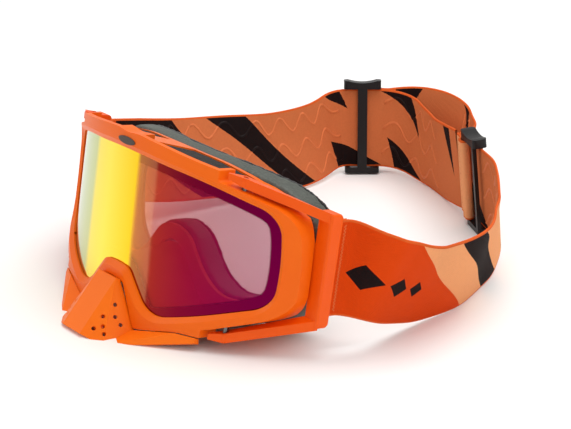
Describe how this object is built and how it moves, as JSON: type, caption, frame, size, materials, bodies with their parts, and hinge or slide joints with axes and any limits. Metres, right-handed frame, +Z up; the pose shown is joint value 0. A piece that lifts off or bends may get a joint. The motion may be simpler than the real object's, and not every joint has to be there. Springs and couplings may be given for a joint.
{
  "type": "motorcycle goggles",
  "caption": "Motocross goggles with a cylindrical mirror lens, clip-on nose guard, pivoting outriggers and a looped webbing strap on two sliders.",
  "frame": {"origin": "centre of the bounding box on the surface the goggles lie on", "axes": "+Z up, the lens faces -Y leaned back 10 degrees, +X towards the wearer's left"},
  "size_m": [0.2128, 0.2786, 0.0882],
  "materials": {
    "frame_orange": "satin moulded orange thermoplastic",
    "lens_mirror": "mirror-coated polycarbonate, yellow to magenta",
    "outrigger_orange": "satin moulded orange nylon",
    "badge_grey": "dull grey print",
    "pin_steel": "plain steel",
    "foam_grey": "grey face foam",
    "fleece_black": "black brushed fleece",
    "vent_foam_black": "open-cell foam",
    "strap_webbing": "woven elastic webbing, orange, peach and black",
    "slider_black": "moulded black plastic"
  },
  "bodies": {
    "root": {"frame": "frame_orange", "lens": "lens_mirror", "brow_badge": "badge_grey", "hinge_pins": "pin_steel", "face_foam": "foam_grey", "face_fleece": "fleece_black", "vent_foam_top_left": "vent_foam_black", "vent_foam_top_right": "vent_foam_black", "vent_foam_bottom_left": "vent_foam_black", "vent_foam_bottom_right": "vent_foam_black", "strap_left_side": "strap_webbing", "strap_left_outer": "strap_webbing", "strap_right_side": "strap_webbing", "strap_right_inner": "strap_webbing"},
    "nose_guard": {"nose_guard": "frame_orange"},
    "outrigger_left": {"outrigger_left": "outrigger_orange", "strap_left_anchor": "strap_webbing"},
    "outrigger_right": {"outrigger_right": "outrigger_orange", "strap_right_anchor": "strap_webbing"},
    "slider_left": {"slider_left": "slider_black", "strap_left_weave": "strap_webbing", "strap_right_end": "strap_webbing"},
    "slider_right": {"slider_right": "slider_black", "strap_right_weave": "strap_webbing", "strap_left_end": "strap_webbing"}
  },
  "joints": [
    {"name": "outrigger_left_hinge", "type": "hinge", "parent": "root", "child": "outrigger_left", "pos_m": [0.05616, -0.09234, 0.04215], "axis": [0, -0.1736, -0.9848], "range_deg": [0, 10], "deforming": ["strap_left_side"]},
    {"name": "outrigger_right_hinge", "type": "hinge", "parent": "root", "child": "outrigger_right", "pos_m": [-0.06484, -0.09234, 0.04215], "axis": [0, 0.1736, 0.9848], "range_deg": [0, 10], "deforming": ["strap_right_side"]},
    {"name": "slider_left_slide", "type": "slide", "parent": "root", "child": "slider_left", "axis": [-0.9, 0.4359, 0], "range_m": [-0.008, 0.008], "deforming": ["strap_left_outer"]},
    {"name": "slider_right_slide", "type": "slide", "parent": "root", "child": "slider_right", "axis": [0.62, 0.7846, 0], "range_m": [-0.008, 0.008], "deforming": ["strap_right_inner"]},
    {"name": "nose_guard_clip", "type": "slide", "parent": "root", "child": "nose_guard", "axis": [0, -0.9848, 0.1736], "range_m": [0, 0.012]}
  ]
}
